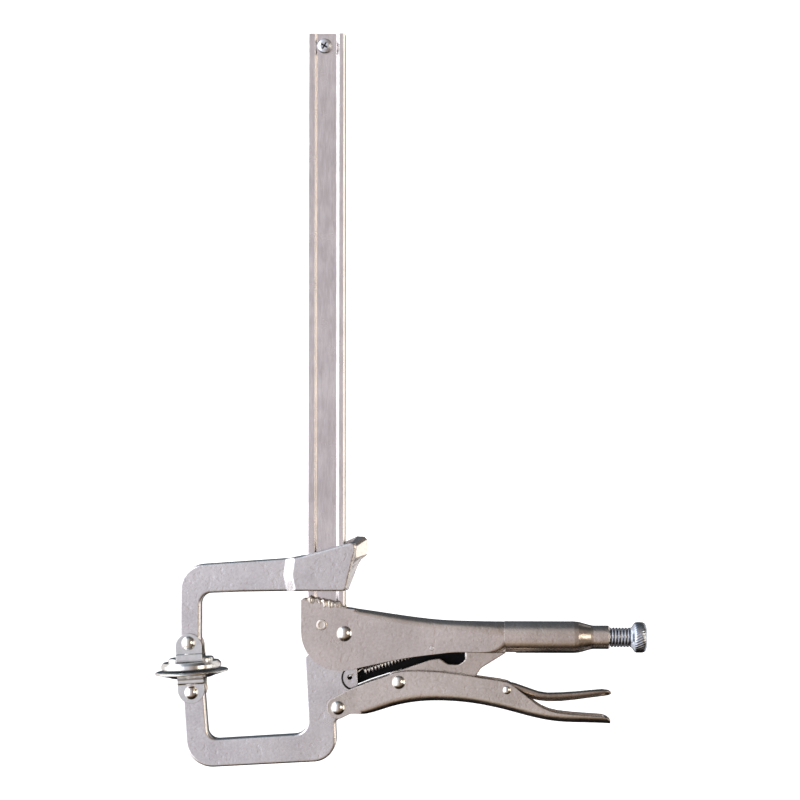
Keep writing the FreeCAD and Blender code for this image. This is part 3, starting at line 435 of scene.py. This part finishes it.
def tension_spring():
    """The coil and its two hooks, from the hole in the jaw's lug to the pin."""
    along = (SPRING_PIN - LUG_HOLE).normalized()
    reach = (SPRING_PIN - LUG_HOLE).length
    up = Vector((-along.z, 0.0, along.x))
    side = Vector((0.0, 1.0, 0.0))
    gauge = 0.00045
    coil_radius = 0.00185
    pitch = 0.0021
    length = 0.0342
    first = 0.0102
    last = first + length
    near_hook = 0.0024
    far_hook = 0.0020

    def at(s, u, v):
        """s from the lug towards the pin, u upwards, v away from the viewer."""
        return LUG_HOLE + along * s + up * u + side * v

    points = []
    for degrees in range(-150, 151, 12):
        angle = math.radians(degrees)
        points.append(at(near_hook - near_hook * math.cos(angle), 0.0002,
                         near_hook * math.sin(angle)))
    points += [at(0.0066, 0.0006, 0.0009), at(0.0084, 0.0013, 0.0004)]
    turns = length / pitch
    steps = int(turns * 20)
    for i in range(steps + 1):
        angle = math.tau * turns * i / steps
        points.append(at(first + length * i / steps, coil_radius * math.cos(angle),
                         coil_radius * math.sin(angle)))
    points += [at(last + 0.0012, 0.0012, 0.0006), at(last + 0.003, 0.0006, 0.0)]
    for degrees in range(20, 331, 12):
        angle = math.radians(degrees)
        points.append(at(reach - far_hook * math.cos(angle), far_hook * math.sin(angle), 0.0))
    bm = bmesh.new()
    wire(bm, points, gauge)
    spring = piece("tension_spring", bm, "spring", "spring")
    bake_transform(spring)


def round_lever():
    """The release lever: a pressed strip with a flat back and a full round belly."""
    lo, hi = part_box("release_lever")
    length = hi.x - lo.x
    widest = (hi.y - lo.y) / 2
    stations = [
        # share of the length, back and belly in metres, share of the widest half width
        (0.002, -0.0098, -0.0128, 0.84), (0.02, -0.0087, -0.0142, 0.95),
        (0.07, -0.0070, -0.0156, 0.98), (0.12, -0.0063, -0.0162, 0.98),
        (0.18, -0.0068, -0.0165, 0.98), (0.24, -0.0077, -0.0165, 0.98),
        (0.31, -0.0096, -0.0166, 0.98), (0.37, -0.0112, -0.0170, 0.98),
        (0.43, -0.0128, -0.0180, 0.98), (0.50, -0.0136, -0.0185, 0.98),
        (0.60, -0.0134, -0.0184, 0.98), (0.72, -0.0128, -0.0174, 0.98),
        (0.84, -0.0119, -0.0161, 0.97), (0.93, -0.0113, -0.0152, 0.93),
        (0.975, -0.0117, -0.0147, 0.85), (0.995, -0.0126, -0.0140, 0.70)]
    around = 40
    rings = []
    for share, back, belly, wide in stations:
        shoulder = back - 0.12 * (back - belly)
        ring = []
        for k in range(around):
            angle = math.tau * k / around
            c, s = math.cos(angle), math.sin(angle)
            # A boxy upper half and a round lower half.
            power = 0.35 if s > 0 else 1.0
            tall = back - shoulder if s > 0 else shoulder - belly
            ring.append((lo.x + share * length,
                         widest * wide * math.copysign(abs(c) ** power, c),
                         shoulder + tall * math.copysign(abs(s) ** power, s)))
        rings.append(ring)
    bm = bmesh.new()
    skin(bm, rings)
    piece("round_lever", bm, "lever", "release_lever", "release")


def weld_bead(name, node, front, seed):
    """A run of overlapping weld ripples with spatter, over the joint's strip."""
    lo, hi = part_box(node)
    rng = random.Random(seed)
    centre_z = (lo.z + hi.z) / 2
    deep = hi.y - lo.y
    face = hi.y if front else lo.y
    out = -1.0 if front else 1.0
    steps = 120
    around = 22
    inset = 0.0006
    slope = 0.0050
    ripples = 6.5
    foot = 0.0012
    rings = []
    for i in range(steps + 1):
        t = i / steps
        x = lo.x + inset + (hi.x - lo.x - 2 * inset) * t
        middle = centre_z + (0.5 - t) * slope
        wander = 0.9 * noise.noise((t * 5, seed, 0))
        ripple = 0.5 + 0.5 * math.cos(math.tau * (t * ripples + wander))
        taper = min(1.0, 5.0 * min(t, 1 - t) + 0.35)
        tall = (0.0027 + 0.0003 * ripple + 0.0008 * noise.noise((t * 9, seed, 3))) * taper
        thick = deep * (0.90 + 0.05 * ripple + 0.10 * noise.noise((t * 11, seed, 7)))
        ring = []
        for k in range(around):
            angle = math.tau * k / around
            c, s = math.cos(angle), math.sin(angle)
            lump = 1.0 + 0.16 * noise.noise((x * 620, c * 1.9, s * 1.9))
            depth = foot + (thick - foot) * max(0.0, c) ** 0.5 * lump
            ring.append((x, face + out * min(depth, deep - 0.00003), middle + tall * s * lump))
        rings.append(ring)
    bm = bmesh.new()
    skin(bm, rings)
    for _ in range(3):
        size = rng.uniform(0.0003, 0.0007)
        at = Vector((rng.uniform(lo.x + 0.001, hi.x - 0.001),
                     face + out * (deep * rng.uniform(0.3, 0.72)),
                     centre_z + rng.uniform(-0.0028, 0.0030)))
        bmesh.ops.create_icosphere(bm, subdivisions=2, radius=size,
                                   matrix=Matrix.Translation(at))
    piece(name, bm, "weld", node, "fixed_handle")


threaded_screw()
knurled_knob()
tension_spring()
round_lever()
weld_bead("front_weld", "bar_weld_front", True, 3)
weld_bead("back_weld", "bar_weld_back", False, 8)


# ---- floor and backdrop ----------------------------------------------------------------


def stage_piece(name, bm, brightness):
    """A pale surface that glows a little, so that it stays even and nearly white."""
    mesh = bpy.data.meshes.new(name)
    bm.to_mesh(mesh)
    bm.free()
    material, g = material_graph(name + "_paint")
    shader = principled(g)
    g.put(shader["Base Color"], (0.9, 0.9, 0.9))
    g.put(shader["Roughness"], 1.0)
    g.put(shader["Emission Color"], (1.0, 1.0, 1.0))
    g.put(shader["Emission Strength"], brightness)
    mesh.materials.append(material)
    obj = bpy.data.objects.new(name, mesh)
    scene.collection.objects.link(obj)
    obj.visible_glossy = False
    obj.visible_diffuse = False
    obj.visible_shadow = False


FLOOR_Z = cad_box[0].z - 0.16
bm = bmesh.new()
bmesh.ops.create_circle(bm, cap_ends=True, segments=96, radius=6.0,
                        matrix=Matrix.Translation((0.1, 0.0, FLOOR_Z)))
stage_piece("floor", bm, 0.75)
bm = bmesh.new()
bmesh.ops.create_uvsphere(bm, u_segments=64, v_segments=32, radius=5.5)
stage_piece("backdrop", bm, 1.0)


# ---- the room that the metal reflects --------------------------------------------------

world = bpy.data.worlds.new("studio")
scene.world = world
world.use_nodes = True
sky = Graph(world.node_tree)
direction = sky.add("ShaderNodeTexCoord").outputs["Generated"]
east, away, high = sky.axes(direction)
sideways = sky.math("ABSOLUTE", east, 0.0)

# Up and down: from behind and below, through the front, to above and behind.
turn = sky.math("ARCTAN2", high, sky.math("MULTIPLY", away, -1.0))
upright = sky.ramp(sky.math("ADD", sky.math("MULTIPLY", turn, 1 / math.tau), 0.5), [
    (0.00, (0.020, 0.020, 0.022)),
    (0.06, (0.004, 0.004, 0.005)),
    (0.28, (0.005, 0.004, 0.004)),
    (0.32, (0.050, 0.036, 0.024)),
    (0.35, (0.165, 0.128, 0.092)),
    (0.375, (0.260, 0.225, 0.185)),
    (0.40, (0.325, 0.300, 0.280)),
    (0.44, (0.335, 0.318, 0.320)),
    (0.48, (0.335, 0.325, 0.340)),
    (0.50, (0.375, 0.362, 0.380)),
    (0.51, (0.372, 0.362, 0.380)),
    (0.53, (0.325, 0.315, 0.325)),
    (0.56, (0.345, 0.335, 0.345)),
    (0.63, (0.335, 0.335, 0.345)),
    (0.67, (0.270, 0.285, 0.300)),
    (0.70, (0.140, 0.152, 0.165)),
    (0.74, (0.075, 0.090, 0.105)),
    (0.88, (0.055, 0.070, 0.085)),
    (1.00, (0.030, 0.035, 0.040)),
])
# From left to right: a white wall, then a warmer and dimmer room, then a pale window.
across = sky.ramp(sky.math("ADD", sky.math("MULTIPLY", east, 0.5), 0.5), [
    (0.00, (0.95, 0.96, 1.00)),
    (0.24, (0.95, 0.96, 1.00)),
    (0.31, (0.62, 0.64, 0.68)),
    (0.37, (0.36, 0.37, 0.39)),
    (0.43, (0.325, 0.337, 0.345)),
    (0.475, (0.325, 0.325, 0.325)),
    (0.49, (0.295, 0.280, 0.275)),
    (0.52, (0.250, 0.225, 0.208)),
    (0.58, (0.205, 0.180, 0.160)),
    (0.66, (0.150, 0.128, 0.108)),
    (0.95, (0.100, 0.085, 0.070)),
    (0.975, (0.80, 0.75, 0.66)),
    (1.00, (0.80, 0.75, 0.66)),
])
# Both ends of the room are lit from top to bottom, the left one more widely.
ends = sky.step(sideways, 0.86, 0.97)
wall = sky.math("MULTIPLY", sky.step(east, -0.35, -0.62), sky.step(high, -0.85, -0.40))
lit = sky.math("MAXIMUM", ends, sky.math("MULTIPLY", wall, 0.9))
room = sky.mix(1.0, sky.mix(lit, upright, (0.36, 0.36, 0.36)), across, blend="MULTIPLY")
# One warm lamp at the right front, a little above the handles.
lamp_way, nearness = sky.vector_math("DOT_PRODUCT", direction)
lamp_way.default_value = Vector((0.70, -0.70, 0.13)).normalized()
room = sky.mix(sky.step(nearness, 0.945, 0.985), room, (0.52, 0.45, 0.36))
# Two pale walls behind, left and right, light the object's back.
behind = sky.math("MULTIPLY", sky.step(away, 0.30, 0.50), sky.step(sideways, 0.22, 0.48))
room = sky.mix(behind, room, (0.155, 0.148, 0.145))
background = sky.add("ShaderNodeBackground")
sky.put(background.inputs["Strength"], 5.9)
sky.put(background.inputs["Color"], room)
sky.put(sky.add("ShaderNodeOutputWorld").inputs["Surface"], background.outputs["Background"])


# ---- key light and camera --------------------------------------------------------------


def aim(obj, place, target):
    """Put a light or camera at a place, looking at a target."""
    obj.location = place
    obj.rotation_euler = (Vector(target) - obj.location).to_track_quat("-Z", "Y").to_euler()
    scene.collection.objects.link(obj)


key = bpy.data.lights.new("key", "AREA")
key.shape = "DISK"
key.size = 0.9
key.energy = 5.0
key.color = (1.0, 0.99, 0.97)
aim(bpy.data.objects.new("key", key), (-1.3, -1.5, 1.1), (0.12, 0.0, 0.12))

camera_data = bpy.data.cameras.new("camera")
camera_data.sensor_width = 36.0
camera_data.lens = 95.9
camera = bpy.data.objects.new("camera", camera_data)
aim(camera, (0.1787, -1.3, 0.1244), (0.1274, 0.0, 0.1644))
scene.camera = camera
scene.view_settings.view_transform = "Standard"

bpy.context.view_layer.update()
